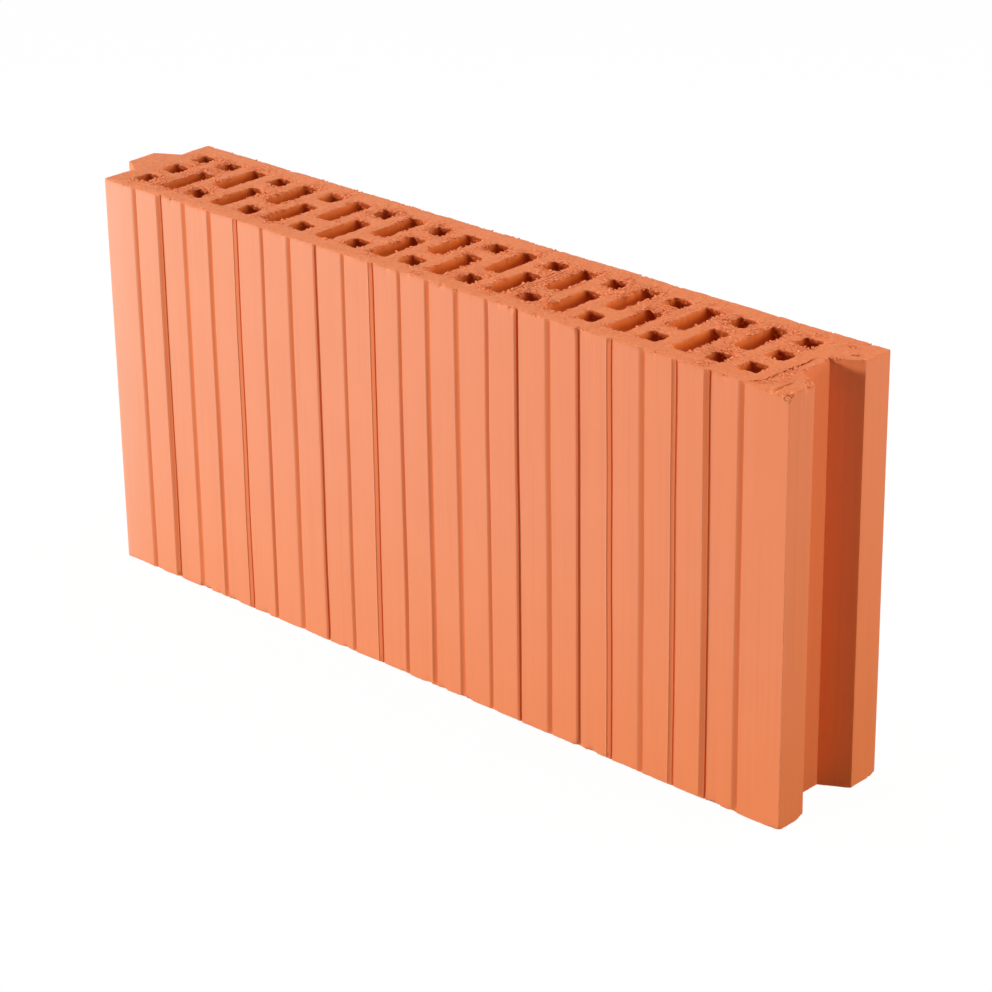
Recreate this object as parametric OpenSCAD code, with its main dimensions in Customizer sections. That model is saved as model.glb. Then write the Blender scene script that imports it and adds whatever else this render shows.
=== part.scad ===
// Perforated clay partition block with grooved faces and tongue-and-groove ends.
// It stands on its lower bed face. X runs along the wall, Y through the wall, Z up.
// The origin is the middle of the block's footprint, tongue included, on the lower bed face.

/* [Block] */
// Length from the shoulder beside the tongue to the far end
block_length = 497; // [300:1:600]
// Width, which is the thickness of the wall that it builds
block_width = 80; // [72:1:110]
// Height between the two bed faces
block_height = 238; // [100:1:300]
// Rounding of the four outer upright corners
corner_radius = 2.5; // [1:0.5:5]

/* [Holes] */
// Size of every hole along the block
hole_length = 12.2; // [8:0.1:14]
// Spacing of the hole columns along the block
column_pitch = 21.1; // [18:0.1:30]
// Clay between a hole and the face beside it
shell_wall = 12.5; // [9:0.5:15]
// Clay between two holes of one column
web_wall = 9.5; // [6:0.5:11]
// Clay between the tongue end's shoulder and the first column
tongue_end_wall = 11; // [8:0.5:16]
// Least clay between the last column and the end groove
groove_end_wall = 12; // [8:0.5:16]
// Rounding of the holes' upright corners
hole_radius = 2; // [0.5:0.25:3]

/* [Face grooves] */
// Width of a plaster groove at the face
groove_width = 4.6; // [3:0.1:7]
// Width of its floor
groove_floor = 2.6; // [1:0.1:3]
// Depth of a plaster groove
groove_depth = 2; // [1:0.1:4]
// Plain margin from the shoulder to the middle of the first groove
groove_margin = 25.2; // [15:0.1:35]

/* [Tongue and end groove] */
// How far the tongue stands out
tongue_height = 13.8; // [8:0.2:18]
// Width of the tongue where it meets the shoulder
tongue_root = 36.6; // [30:0.2:44]
// Width of the tongue's tip
tongue_tip = 19.4; // [12:0.2:26]
// Gap on each side between a tongue and the groove it enters
side_clearance = 1.8; // [0.5:0.1:3]
// Gap between the tongue's tip and the bottom of the groove
tip_clearance = 1.2; // [0.5:0.1:3]
// Rounding of the tongue's and the end groove's corners
joint_radius = 1.5; // [0.5:0.25:3]

/* [Hidden] */
clay_colour = [0.93, 0.55, 0.37];
overrun = 1;      // how far a cutting shape runs past what it cuts
arc_steps = 5;    // flats in a rounded corner of the outline
hole_fn = 32;

// Places along the block
shoulder_x = -(block_length - tongue_height) / 2;
tip_x = shoulder_x - tongue_height;
end_x = shoulder_x + block_length;
face_y = block_width / 2;

// The end groove is the tongue's shape, wider and deeper by the clearances
flank_slope = (tongue_root - tongue_tip) / 2 / tongue_height;
end_groove_depth = tongue_height + tip_clearance;
end_groove_mouth = tongue_root + 2 * side_clearance;
end_groove_bottom = end_groove_mouth - 2 * flank_slope * end_groove_depth;

// Three cells and two webs fill the width between the shells
cell_width = (block_width - 2 * shell_wall - 2 * web_wall) / 3;
row_pitch = cell_width + web_wall;
first_column_x = shoulder_x + tongue_end_wall + hole_length / 2;
column_room = block_length - end_groove_depth - groove_end_wall - tongue_end_wall - hole_length;
columns = floor(column_room / column_pitch) + 1;
grooves = floor((block_length - 2 * groove_margin) / column_pitch) + 1;

function unit(v) = v / norm(v);

// Points of the arc of radius r that rounds the corner at p, between the points a and b
function corner_arc(a, p, b, r) =
    let (
        u = unit(a - p),
        v = unit(b - p),
        half = acos(u * v) / 2,
        centre = p + unit(u + v) * r / sin(half),
        from = (p + u * r / tan(half) - centre) / r,
        to = (p + v * r / tan(half) - centre) / r,
        sweep = 180 - 2 * half
    )
    [for (i = [0:arc_steps])
        let (t = i / arc_steps)
        centre + r * (sin((1 - t) * sweep) * from + sin(t * sweep) * to) / sin(sweep)];

// Outline with each corner rounded; a corner is [point, radius]
function rounded(corners) =
    let (n = len(corners))
    [for (i = [0:n - 1])
        each corner_arc(corners[(i + n - 1) % n][0], corners[i][0], corners[(i + 1) % n][0], corners[i][1])];

// One half of the outline, from the tongue's tip to the bottom of the end groove
function half_outline(side) = [
    [[tip_x, side * tongue_tip / 2], joint_radius],
    [[shoulder_x, side * tongue_root / 2], joint_radius],
    [[shoulder_x, side * face_y], corner_radius],
    [[end_x, side * face_y], corner_radius],
    [[end_x, side * end_groove_mouth / 2], joint_radius],
    [[end_x - end_groove_depth, side * end_groove_bottom / 2], joint_radius]
];

module block_outline() {
    back = half_outline(1);
    front = half_outline(-1);
    polygon(rounded(concat(front, [for (i = [len(back) - 1:-1:0]) back[i]])));
}

// One plaster groove, open towards -Y, with its mouth on the line y = 0
module face_groove() {
    mouth_slope = (groove_width - groove_floor) / 2 / groove_depth;
    polygon([
        [-groove_width / 2 - mouth_slope * overrun, -overrun],
        [groove_width / 2 + mouth_slope * overrun, -overrun],
        [groove_floor / 2, groove_depth],
        [-groove_floor / 2, groove_depth]
    ]);
}

module face_grooves() {
    for (i = [0:grooves - 1])
        translate([shoulder_x + groove_margin + i * column_pitch, -face_y])
            face_groove();
}

// One hole with rounded corners, centred, of the given size through the wall
module hole(width) {
    straight = [hole_length - 2 * hole_radius, width - 2 * hole_radius];
    square([hole_length, straight[1]], center = true);
    square([straight[0], width], center = true);
    for (x = [-1, 1], y = [-1, 1])
        translate([x * straight[0] / 2, y * straight[1] / 2])
            circle(hole_radius, $fn = hole_fn);
}

// The end columns have three single cells. Between them a column has one single cell
// and one slot, which is two cells and their web in one, on alternating sides.
module hole_column(i) {
    if (i == 0 || i == columns - 1)
        for (row = [-1:1])
            translate([0, row * row_pitch])
                hole(cell_width);
    else {
        slot_side = i % 2 == 0 ? 1 : -1;
        translate([0, slot_side * row_pitch / 2])
            hole(cell_width + row_pitch);
        translate([0, -slot_side * row_pitch])
            hole(cell_width);
    }
}

module clay_block() {
    color(clay_colour)
        linear_extrude(block_height)
            difference() {
                block_outline();
                face_grooves();
                mirror([0, 1])
                    face_grooves();
                for (i = [0:columns - 1])
                    translate([first_column_x + i * column_pitch, 0])
                        hole_column(i);
            }
}

clay_block();
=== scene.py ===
"""Looks of a perforated clay partition block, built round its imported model.

The clay is drawn through a die as one long column and cut by a wire, so the block has two kinds of surface:
drawn walls, which are smooth and run straight up, and cut faces, which are rough and torn round the holes.
Its mesh is one closed surface: a grid in plan whose cells are clay or air, with the rims of the clay carried
down the height as walls. Sizes are in millimetres, and the mesh is written in metres.
"""

from __future__ import annotations

import logging
import math
from dataclasses import dataclass, field
from enum import Enum
from itertools import product

import bpy
import numpy as np
from mathutils import Matrix, Vector

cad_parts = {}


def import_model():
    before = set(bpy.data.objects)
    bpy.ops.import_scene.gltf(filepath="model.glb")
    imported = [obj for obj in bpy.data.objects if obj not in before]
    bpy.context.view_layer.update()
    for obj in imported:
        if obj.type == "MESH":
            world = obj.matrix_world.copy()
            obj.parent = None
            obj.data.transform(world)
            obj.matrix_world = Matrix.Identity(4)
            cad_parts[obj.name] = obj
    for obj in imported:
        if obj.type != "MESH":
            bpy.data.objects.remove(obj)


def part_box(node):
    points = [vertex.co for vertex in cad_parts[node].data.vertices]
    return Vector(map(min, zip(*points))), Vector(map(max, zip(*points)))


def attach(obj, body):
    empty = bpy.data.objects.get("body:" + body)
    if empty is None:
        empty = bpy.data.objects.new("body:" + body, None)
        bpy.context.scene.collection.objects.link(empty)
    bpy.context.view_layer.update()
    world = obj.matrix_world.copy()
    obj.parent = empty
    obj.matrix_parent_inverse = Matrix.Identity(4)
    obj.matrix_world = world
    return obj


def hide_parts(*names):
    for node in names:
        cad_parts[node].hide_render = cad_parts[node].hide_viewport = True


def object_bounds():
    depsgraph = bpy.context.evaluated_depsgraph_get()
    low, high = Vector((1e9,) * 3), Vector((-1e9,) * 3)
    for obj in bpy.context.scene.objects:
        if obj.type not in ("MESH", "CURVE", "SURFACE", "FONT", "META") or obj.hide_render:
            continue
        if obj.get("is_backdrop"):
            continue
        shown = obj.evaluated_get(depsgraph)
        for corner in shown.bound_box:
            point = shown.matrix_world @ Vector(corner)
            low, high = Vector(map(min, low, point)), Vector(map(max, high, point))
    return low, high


MM = 0.001
IMAGE_SIDE = 992
SHARP_ANGLE = math.radians(38)
ROUNDING = 1e-9
NODE = "clay_block"
BODY = "root"
WHITE = (1.0, 1.0, 1.0)
LOG = logging.getLogger("partition_block")

Socket = bpy.types.NodeSocket
Colour = tuple[float, float, float]


class Rim(Enum):
    """The two kinds of edge that the clay has in plan."""

    OUTLINE = "outline"
    HOLE = "hole"


class SlotSide(Enum):
    """Which side of a hole column has the long slot."""

    NONE = 0
    FRONT = 1
    BACK = 2


class GrooveKind(Enum):
    """Worn shapes of a plaster groove: places across it in half widths, and the depth share at each."""

    RAMP = ((-1.42, -1.36, -1.24, 0.06, 0.2, 0.68, 0.9, 1.1), (0, 0, 0.08, 0.48, 0.95, 0.9, 0, 0))
    LEDGE = ((-1.15, -1.08, -0.97, 0.05, 0.18, 0.45, 0.7, 1.0), (0, 0, 0.15, 0.28, 0.66, 0.62, 0, 0))
    SHALLOW = ((-1.2, -1.08, -0.85, -0.3, 0.4, 0.46, 0.66, 1.1), (0, 0, 0.08, 0.28, 0.56, 0.5, 0, 0))
    UNDERCUT = ((-1.4, -1.34, -1.1, -0.6, 0.0, 0.2, 0.4, 1.1), (0, 0, 0.14, 0.34, 0.52, 0.5, 0, 0))
    NARROW = ((-1.15, -1.05, -0.9, -0.5, -0.05, 0.02, 0.28, 1.0), (0, 0, 0.06, 0.26, 0.52, 0.46, 0, 0))
    VEE = ((-1.25, -1.15, -1.0, -0.55, -0.4, -0.1, 0.35, 1.1), (0, 0, 0.08, 0.3, 0.85, 0.85, 0, 0))

    @classmethod
    def from_initials(cls, initials: str) -> list[GrooveKind]:
        """The kinds that a row of first letters names."""
        by_initial = {kind.name[0]: kind for kind in cls}
        return [by_initial[initial] for initial in initials]


def hashed(cells: np.ndarray, seed: int) -> np.ndarray:
    """Gives each whole-number cell a fixed value from -1 to 1.

    The coordinates times large primes are added to the seed, and the bits of the sum are mixed.

    Args:
        cells: Whole-number coordinates, with the axes last.
        seed: Chooses one of many such fields.

    Returns:
        One value for each cell.
    """
    primes = np.array((0x9E3779B1, 0x85EBCA77, 0xC2B2AE3D), np.uint64)[: cells.shape[-1]]
    low_bits = np.uint64(0xFFFFFFFF)
    key = (cells.astype(np.int64).astype(np.uint64) * primes).sum(-1, dtype=np.uint64)
    key = (key + np.uint64(seed * 0x27D4EB2F + 1)) & low_bits
    for shift, factor in ((15, 0x2C1B3C6D), (12, 0x297A2D39)):
        key = ((key ^ (key >> np.uint64(shift))) * np.uint64(factor)) & low_bits
    key = key ^ (key >> np.uint64(15))
    return key.astype(float) / 0x7FFFFFFF - 1


def smooth_noise(points: np.ndarray, size: float | tuple[float, ...], seed: int) -> np.ndarray:
    """Smooth field from -1 to 1: hashed values on a lattice, eased from one lattice point to the next.

    Args:
        points: Places, with the axes last.
        size: Spacing of the lattice, one number or one for each axis.
        seed: Chooses one of many such fields.

    Returns:
        The field's value at each place.
    """
    scaled = points / np.asarray(size, float)
    cell = np.floor(scaled)
    ease = scaled - cell
    ease = ease * ease * (3 - 2 * ease)
    total = np.zeros(points.shape[:-1])
    for corner in product((0, 1), repeat=points.shape[-1]):
        share = np.where(np.array(corner, bool), ease, 1 - ease).prod(-1)
        total += share * hashed(cell + np.array(corner), seed)
    return total


def lump_noise(points: np.ndarray, size: float, seed: int) -> np.ndarray:
    """Round lumps from 0 to 1, one in each square of a lattice, each at a hashed place and height.

    A lump's height falls from its hashed value at its middle to 0 at its reach, as 1 less the squared gap.

    Args:
        points: Places in plan, with the axes last.
        size: Spacing of the lattice.
        seed: Chooses one of many such fields.

    Returns:
        The height of the tallest lump at each place.
    """
    reach = 0.6
    stray = 0.4
    scaled = points / size
    cell = np.floor(scaled)
    tallest = np.zeros(points.shape[:-1])
    for near in product((-1, 0, 1), repeat=2):
        square = cell + np.array(near)
        middle = square + 0.5 + stray * np.stack((hashed(square, seed), hashed(square, seed + 1)), -1)
        height = 0.5 + 0.5 * hashed(square, seed + 2)
        gap = np.linalg.norm(scaled - middle, axis=-1) / reach
        tallest = np.maximum(tallest, height * np.clip(1 - gap * gap, 0, 1))
    return tallest


class Noise(Enum):
    """The fields that roughen the clay: the number that each adds to a seed, and its size.

    A field with no size has one hashed value for each grid node.
    """

    PATCH = (0, 17.0)
    BROAD_GRAIN = (1, 8.0)
    FINE_GRAIN = (2, 2.7)
    RIM = (3, 3.0)
    EDGE = (4, 9.0)
    CRUMB = (5, 2.2)
    PIT = (6, None)
    SPOT = (7, 3.0)
    WANDER = (8, 7.0)
    BREAK = (9, 3.5)
    RAGGED = (11, 4.6)
    FINE_RAGGED = (12, 2.1)
    BURR = (13, 6.0)
    BITE = (14, 9.0)
    JAG = (15, None)
    CHIP = (16, 5.0)
    CLUMP = (17, 5.5)
    DRAG = (18, 3.0)
    WALL_WAVE = (201, (45.0, 45.0, 60.0))
    WALL_LINE = (202, (2.6, 2.6, 160.0))
    GROOVE_SWAY = (203, (21.0, 55.0))
    GROOVE_SWELL = (204, (21.0, 70.0))

    def at(self, places: np.ndarray, seed: int = 0) -> np.ndarray:
        """Smooth value from -1 to 1 at each place."""
        number, size = self.value
        return smooth_noise(places, size, seed + number)

    def lumps(self, places: np.ndarray, seed: int) -> np.ndarray:
        """Height of round lumps from 0 to 1 at each place."""
        number, size = self.value
        return lump_noise(places, size, seed + number)

    def on_nodes(self, numbers: np.ndarray, seed: int) -> np.ndarray:
        """Hashed value from -1 to 1 for each grid node, by its numbers."""
        return hashed(numbers, seed + self.value[0])


def four_sides(wide: np.ndarray) -> tuple[np.ndarray, ...]:
    """Values at the four neighbours of each inner node of a grid."""
    return wide[:-2, 1:-1], wide[2:, 1:-1], wide[1:-1, :-2], wide[1:-1, 2:]


def steps_from(marked: np.ndarray, reach: int) -> np.ndarray:
    """Counts grid steps to the nearest marked node, each pass looking one step further.

    Args:
        marked: True at the nodes to count from.
        reach: The most steps that are counted.

    Returns:
        Steps at each node, from 0 to reach.
    """
    steps = np.where(marked, 0, reach)
    for _ in range(reach):
        wide = np.pad(steps, 1, constant_values=reach)
        steps = np.minimum(steps, np.minimum.reduce(four_sides(wide)) + 1)
    return steps


def carried_inward(values: np.ndarray, held: np.ndarray, passes: int, keep: float) -> np.ndarray:
    """Fades values at held nodes into the grid: a free node takes a share of its four neighbours' mean.

    Args:
        values: One vector for each node.
        held: True at the nodes that keep their value.
        passes: How many times the mean is taken.
        keep: Share of the mean that a free node takes.

    Returns:
        The faded vectors.
    """
    faded = np.where(held[..., None], values, 0.0)
    for _ in range(passes):
        wide = np.pad(faded, ((1, 1), (1, 1), (0, 0)), mode="edge")
        mean = sum(four_sides(wide)) / 4
        faded = np.where(held[..., None], values, keep * mean)
    return faded


@dataclass
class RimEdges:
    """Directed edges of the clay's rims in plan, with clay on their left, as flat node numbers."""

    start: np.ndarray
    stop: np.ndarray

    def nodes(self) -> np.ndarray:
        """Flat numbers of the nodes on these rims."""
        return np.unique(self.start)

    def previous(self) -> np.ndarray:
        """Finds the nodes that come before the edges' start nodes on their rims.

        Returns:
            One flat number for each edge.
        """
        before = np.zeros(self.stop.max() + 1, int)
        before[self.stop] = self.start
        return before[self.start]


@dataclass
class DrawnSection:
    """The block's section as the die draws it, held as a grid of lines in plan."""

    low: np.ndarray
    high: np.ndarray
    hole_length: float = 12.2
    column_pitch: float = 21.1
    shell_wall: float = 12.5
    web_wall: float = 9.5
    tongue_end_wall: float = 11.0
    groove_end_wall: float = 12.0
    groove_margin: float = 25.2
    groove_width: float = 4.6
    groove_depth: float = 2.0
    tongue_height: float = 13.8
    tongue_root: float = 36.6
    tongue_tip: float = 19.4
    side_clearance: float = 1.8
    tip_clearance: float = 1.2
    front_grooves: str = "SRUULNSVNLNUUNVSVLSLRS"
    back_grooves: str = "RSLUSNVSSLRNSUSVLNSRLS"
    groove_seed: int = 5
    groove_spread: float = 0.1
    face_reach: float = 1.4
    hole_steps: int = 11
    wall_steps: int = 10
    shell_steps: int = 12
    cell_steps: int = 11
    web_steps: int = 8
    tongue_steps: int = 12
    end_steps: int = 10
    tail_steps: int = 10
    joint_steps: int = 26
    corner_passes: dict[Rim, int] = field(default_factory=lambda: {Rim.HOLE: 6, Rim.OUTLINE: 1})
    corner_share: dict[Rim, float] = field(default_factory=lambda: {Rim.HOLE: 0.25, Rim.OUTLINE: 0.12})
    height: float = field(init=False)
    face: float = field(init=False)
    tip_x: float = field(init=False)
    shoulder_x: float = field(init=False)
    joint_x: float = field(init=False)
    end_x: float = field(init=False)
    joint_depth: float = field(init=False)
    cell_width: float = field(init=False)
    root_line: float = field(init=False)
    flank_line: float = field(init=False)
    columns: int = field(init=False)
    column_left: np.ndarray = field(init=False)
    groove_x: np.ndarray = field(init=False)
    grooves: list[np.ndarray] = field(init=False)
    row_y: np.ndarray = field(init=False)
    x: np.ndarray = field(init=False)
    y: np.ndarray = field(init=False)
    groove_shape: np.ndarray = field(init=False)
    clay: np.ndarray = field(init=False)
    holes: np.ndarray = field(init=False)
    rims: dict[Rim, RimEdges] = field(init=False)

    def __post_init__(self) -> None:
        """Works out the places along and across the block, and then the grid."""
        self.height = self.high[2] - self.low[2]
        self.face = self.high[1]
        self.tip_x = self.low[0]
        self.shoulder_x = self.tip_x + self.tongue_height
        self.end_x = self.high[0]
        self.joint_depth = self.tongue_height + self.tip_clearance
        self.joint_x = self.end_x - self.joint_depth
        self.cell_width = (2 * self.face - 2 * self.shell_wall - 2 * self.web_wall) / 3
        self.flank_line = (self.cell_width + self.web_wall) / 2
        room = self.joint_x - self.groove_end_wall - self.shoulder_x - self.tongue_end_wall - self.hole_length
        self.columns = int(room // self.column_pitch) + 1
        pitches = self.column_pitch * np.arange(self.columns)
        self.column_left = self.shoulder_x + self.tongue_end_wall + pitches
        self.groove_x = self.shoulder_x + self.groove_margin + pitches
        self.grooves = [self._worn_grooves(initials) for initials in (self.front_grooves, self.back_grooves)]
        self._mark_cells()
        self._place_nodes()
        self.rims = {kind: self._rim_edges(kind) for kind in Rim}
        self._round_corners()

    def points(self) -> np.ndarray:
        """Plan places of the nodes, with x and y last."""
        return np.stack((self.x, self.y), -1)

    def flat_points(self) -> np.ndarray:
        """Plan places in the order of the nodes' flat numbers."""
        return self.points().reshape(-1, 2)

    def on_long_face(self, plan: np.ndarray) -> np.ndarray:
        """True at plan places on a long face or in its grooves."""
        return np.abs(plan[:, 1]) > self.face - self.face_reach * self.groove_depth

    def _lines_along(self) -> tuple[np.ndarray, np.ndarray, np.ndarray]:
        """Places the grid lines along the block.

        Among the holes the lines are evenly spaced. On the long faces the same lines close up at the lips
        and the floor of each plaster groove.

        Returns:
            The lines' places among the holes, on the front face and on the back face.
        """
        left = self.column_left[:, None]
        hole_share = np.arange(self.hole_steps) / self.hole_steps
        wall_share = np.arange(self.wall_steps) / self.wall_steps
        among_holes = np.hstack((
            left + self.hole_length * hole_share,
            left + self.hole_length + (self.column_pitch - self.hole_length) * wall_share,
        ))
        on_faces = []
        for grooves in self.grooves:
            across = self.groove_x[:, None] + self.groove_width / 2 * grooves[..., 0]
            rest_steps = self.wall_steps - across.shape[1] + 1
            rest_share = np.arange(1, rest_steps) / rest_steps
            on_faces.append(np.hstack((
                left + (across[:, :1] - left) * hole_share,
                across,
                across[:, -1:] + (left + self.column_pitch - across[:, -1:]) * rest_share,
            )))
        tail_x = self.column_left[-1] + self.column_pitch
        before = np.hstack((
            np.linspace(self.tip_x, self.shoulder_x, self.tongue_steps, endpoint=False),
            np.linspace(self.shoulder_x, self.column_left[0], self.end_steps, endpoint=False),
        ))
        after = np.hstack((
            np.linspace(tail_x, self.joint_x, self.tail_steps, endpoint=False),
            np.linspace(self.joint_x, self.end_x, self.joint_steps + 1),
        ))
        return tuple(np.hstack((before, lines.ravel(), after)) for lines in (among_holes, *on_faces))

    def _worn_grooves(self, initials: str) -> np.ndarray:
        """Gives each groove of one face its worn kind, with a depth that is hashed from its number.

        Args:
            initials: First letters of the kinds, from the tongue end.

        Returns:
            Place across in half widths and depth share, for each groove and each of its lines.
        """
        kinds = np.array([kind.value for kind in GrooveKind.from_initials(initials)], float)
        spread = self.groove_spread
        depth = 1 - spread + spread * hashed(np.arange(self.columns)[:, None], self.groove_seed)
        return kinds.transpose(0, 2, 1) * np.stack((np.ones(self.columns), depth), -1)[:, None, :]

    def _groove_shares(self, grooves: np.ndarray) -> np.ndarray:
        """Depth shares of one face's grooves at each line along the block.

        Args:
            grooves: The face's grooves.

        Returns:
            Shares of the full depth.
        """
        before = self.tongue_steps + self.end_steps
        after = self.tail_steps + self.joint_steps + 1
        per_column = np.zeros((self.columns, self.hole_steps + self.wall_steps))
        per_column[:, self.hole_steps:self.hole_steps + grooves.shape[1]] = grooves[..., 1]
        return np.hstack((np.zeros(before), per_column.ravel(), np.zeros(after)))

    def _lines_across(self) -> np.ndarray:
        """Places the grid lines through the wall, from the front face to the back face.

        Returns:
            The lines' places.
        """
        edge = self.face - self.shell_wall
        stops = np.array((-self.face, -edge, -edge + self.cell_width, -self.cell_width / 2))
        stops = np.hstack((stops, -stops[::-1]))
        bands = zip(stops, stops[1:], self._band_steps())
        parts = [np.linspace(start, stop, steps, endpoint=False) for start, stop, steps in bands]
        return np.hstack((*parts, [self.face]))

    def _band_steps(self) -> tuple[int, ...]:
        """Grid steps of the bands through the wall: shell, cell, web, cell, web, cell, shell."""
        half = (self.shell_steps, self.cell_steps, self.web_steps)
        return (*half, self.cell_steps, *half[::-1])

    def _slot_sides(self) -> np.ndarray:
        """Chooses the side of each column's slot: none at the two ends, and back and front in turn between.

        Returns:
            The value of the slot's side for each column.
        """
        sides = np.where(np.arange(self.columns) % 2, SlotSide.FRONT.value, SlotSide.BACK.value)
        sides[[0, -1]] = SlotSide.NONE.value
        return sides

    def _mark_cells(self) -> None:
        """Marks each grid cell as clay, hole or open air."""
        self.row_y = self._lines_across()
        pitch_steps = self.hole_steps + self.wall_steps
        first = self.tongue_steps + self.end_steps
        joint = first + self.columns * pitch_steps + self.tail_steps
        shape = (joint + self.joint_steps, len(self.row_y) - 1)
        sides = self._slot_sides()
        bands = self._band_steps()
        cell_bands = (1, 3, 5)
        web_bands = {SlotSide.FRONT: 2, SlotSide.BACK: 4}
        open_bands = np.zeros((self.columns, len(bands)), bool)
        open_bands[:, cell_bands] = True
        for side, band in web_bands.items():
            open_bands[:, band] = sides == side.value
        by_row = np.repeat(open_bands, bands, axis=1)
        in_hole = np.arange(pitch_steps) < self.hole_steps
        self.holes = np.zeros(shape, bool)
        columns = (by_row[:, None, :] & in_hole[None, :, None]).reshape(-1, shape[1])
        self.holes[first:first + len(columns)] = columns
        row_middle = (self.row_y[1:] + self.row_y[:-1]) / 2
        self.root_line = self.row_y[np.abs(self.row_y - self.tongue_root / 2).argmin()]
        self.clay = ~self.holes
        self.clay[:self.tongue_steps] &= np.abs(row_middle) < self.root_line
        self.clay[joint:] &= np.abs(row_middle) > self.flank_line

    def _place_nodes(self) -> None:
        """Places the grid's nodes, with the lines bent to the grooves, the tongue and the end groove."""
        among_holes, on_front, on_back = self._lines_along()
        row = self.row_y[None, :]
        side = np.sign(row)
        out = np.abs(row) + np.zeros((len(among_holes), 1))
        shell_edge = self.face - self.shell_wall
        shell_share = np.clip((out - shell_edge) / self.shell_wall, 0, 1)
        on_faces = np.where(side < 0, on_front[:, None], on_back[:, None])
        x = among_holes[:, None] + (on_faces - among_holes[:, None]) * shell_share

        root = self.tongue_root / 2
        along_tongue = np.clip((self.shoulder_x - x) / self.tongue_height, 0, 1)
        tongue_half = root + (self.tongue_tip - self.tongue_root) / 2 * along_tongue
        in_end_wall = np.clip((self.column_left[0] - x) / self.tongue_end_wall, 0, 1)
        beside = np.clip((self.face - out) / (self.face - self.root_line), 0, 1)
        on_tongue = np.where(x < self.shoulder_x, 1, beside)
        out = out * (1 + (tongue_half / self.root_line - 1) * in_end_wall * on_tongue)

        mouth = root + self.side_clearance
        in_joint = np.clip((x - self.joint_x) / self.joint_depth, 0, 1)
        flank = self.flank_line + (mouth - self.flank_line) * in_joint
        past_flank = (out - self.flank_line) / (self.face - self.flank_line)
        is_bent = (in_joint > 0) & (past_flank >= -ROUNDING)
        out = np.where(is_bent, flank + past_flank * (self.face - flank), out)

        front, back = (self._groove_shares(grooves)[:, None] for grooves in self.grooves)
        share = np.where(side < 0, front, back)
        self.groove_shape = share * np.clip((out - shell_edge) / self.shell_wall, 0, 1)
        self.x = x
        self.y = side * (out - self.groove_depth * self.groove_shape)

    def _rim_edges(self, kind: Rim) -> RimEdges:
        """Finds the edges between clay and what isn't clay, each with the clay on its left.

        Args:
            kind: Whether the far side is a hole or the open air round the block.

        Returns:
            The directed edges of that kind.
        """
        clay = np.pad(self.clay, 1)
        far = np.pad(self.holes, 1)
        if kind is Rim.OUTLINE:
            far = ~far & ~clay
        nodes_across = self.clay.shape[1] + 1
        starts, stops = [], []
        # Each side of a cell: the way to the cell beyond it, and the corners where its edge starts and stops.
        sides = (
            ((0, -1), (0, 0), (1, 0)),
            ((1, 0), (1, 0), (1, 1)),
            ((0, 1), (1, 1), (0, 1)),
            ((-1, 0), (0, 1), (0, 0)),
        )
        for (di, dj), start, stop in sides:
            beyond = np.roll(far, (-di, -dj), (0, 1))[1:-1, 1:-1]
            i, j = np.nonzero(self.clay & beyond)
            starts.append((i + start[0]) * nodes_across + j + start[1])
            stops.append((i + stop[0]) * nodes_across + j + stop[1])
        return RimEdges(np.hstack(starts), np.hstack(stops))

    def _round_corners(self) -> None:
        """Rounds the rims' corners in plan by moving each rim node towards the mean of its neighbours.

        The grooved faces and the outline's inner corners stay as the die made them.
        """
        flat = self.flat_points()
        for kind, edges in self.rims.items():
            before, here, after = edges.previous(), edges.start, edges.stop
            on_face = (kind is Rim.OUTLINE) & self.on_long_face(flat[here])
            on_face &= (flat[here, 0] > self.column_left[0]) & (flat[here, 0] < self.joint_x)
            arriving = flat[here] - flat[before]
            leaving = flat[after] - flat[here]
            turn = arriving[:, 0] * leaving[:, 1] - arriving[:, 1] * leaving[:, 0]
            is_inner = (kind is Rim.OUTLINE) & (turn < 0)
            share = np.where(on_face | is_inner, 0, self.corner_share[kind])[:, None]
            for _ in range(self.corner_passes[kind]):
                neighbours = flat[before] + flat[after]
                flat[here] = (1 - 2 * share) * flat[here] + share * neighbours
        self.x, self.y = flat.reshape(*self.x.shape, 2).transpose(2, 0, 1)

    def away_from_clay(self, edges: RimEdges) -> np.ndarray:
        """Unit vectors out of the clay at the edges' start nodes: the rim's direction turned right.

        Args:
            edges: The rims to work on.

        Returns:
            One vector for each edge.
        """
        flat = self.flat_points()
        along = flat[edges.stop] - flat[edges.previous()]
        turned = np.stack((along[:, 1], -along[:, 0]), -1)
        return turned / np.linalg.norm(turned, axis=1, keepdims=True)


@dataclass(frozen=True)
class WireMark:
    """A line through the wall where the cutting wire paused, and the strip beyond it that lies lower."""

    x: float
    front: float
    back: float
    depth: float
    fall: float = 0.0
    reach: float = 10.0
    tear: float = 0.6
    slant: float = 0.0
    width: float = 0.7
    lines: int = 1
    spacing: float = 2.2
    swing: float = 0.0
    swing_reach: float = 8.0

    def line_places(self) -> np.ndarray:
        """Places along the block of the mark's lines, where they cross the block's middle."""
        return self.x + self.spacing * (np.arange(self.lines) - (self.lines - 1) / 2)


@dataclass(frozen=True)
class WornSpot:
    """A rounded, broken or crumbly place on a cut face."""

    x: float
    y: float
    reach_x: float
    reach_y: float
    depth: float = 0.0
    tear: float = 0.0


@dataclass
class CutShape:
    """What the wire did to one cut face, at each plan node."""

    drop: np.ndarray
    shift: np.ndarray
    torn: np.ndarray


@dataclass(frozen=True)
class HeldNoise:
    """A noise brought to a level and a swing, and held between two limits."""

    level: float
    swing: float
    least: float
    most: float

    def of(self, noise: np.ndarray) -> np.ndarray:
        """The level plus the swing times the noise, within the limits."""
        return np.clip(self.level + self.swing * noise, self.least, self.most)


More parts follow.
